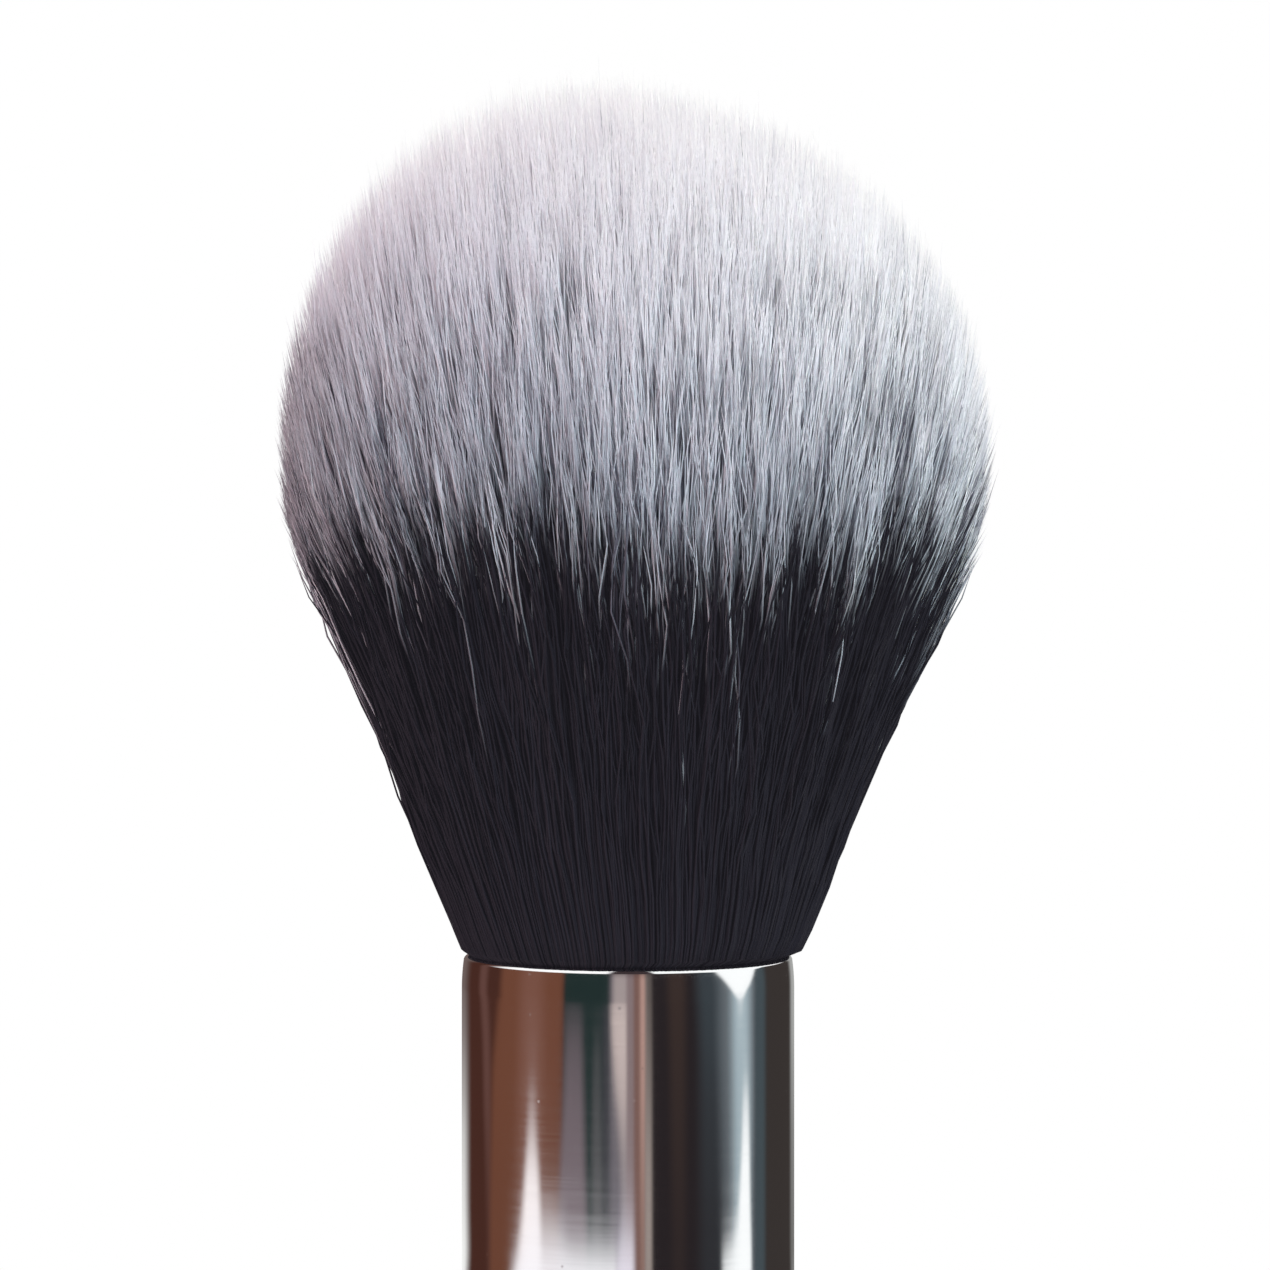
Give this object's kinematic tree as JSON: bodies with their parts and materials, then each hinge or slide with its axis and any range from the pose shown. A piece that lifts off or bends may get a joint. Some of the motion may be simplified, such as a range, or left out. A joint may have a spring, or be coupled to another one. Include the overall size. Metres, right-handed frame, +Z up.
{
  "type": "contour brush",
  "caption": "Makeup brush with a fluffy domed head of dark bristles with white tips, a bright crimped tube ferrule and a waisted black lacquered handle.",
  "frame": {"origin": "centre of the handle's flat butt face, the lowest point of the brush", "axes": "+Z up along the brush's axis from the butt to the bristle tips; +X to the right and +Y away from the picture's camera"},
  "size_m": [0.0278, 0.0278, 0.1774],
  "materials": {
    "lacquered_wood": "gloss",
    "bright_plating": "polished",
    "glue": "gloss",
    "thread": "matte",
    "bristle": "matte"
  },
  "bodies": {
    "root": {"handle": "lacquered_wood", "ferrule": "bright_plating", "root_epoxy": "glue", "tenon_glue": "glue", "binding_thread": "thread", "centre_lock": "bristle", "inner_lock_01": "bristle", "inner_lock_02": "bristle", "inner_lock_03": "bristle", "inner_lock_04": "bristle", "inner_lock_05": "bristle", "inner_lock_06": "bristle", "outer_lock_01": "bristle", "outer_lock_02": "bristle", "outer_lock_03": "bristle", "outer_lock_04": "bristle", "outer_lock_05": "bristle", "outer_lock_06": "bristle", "outer_lock_07": "bristle", "outer_lock_08": "bristle", "outer_lock_09": "bristle", "outer_lock_10": "bristle", "outer_lock_11": "bristle", "outer_lock_12": "bristle"}
  },
  "joints": []
}
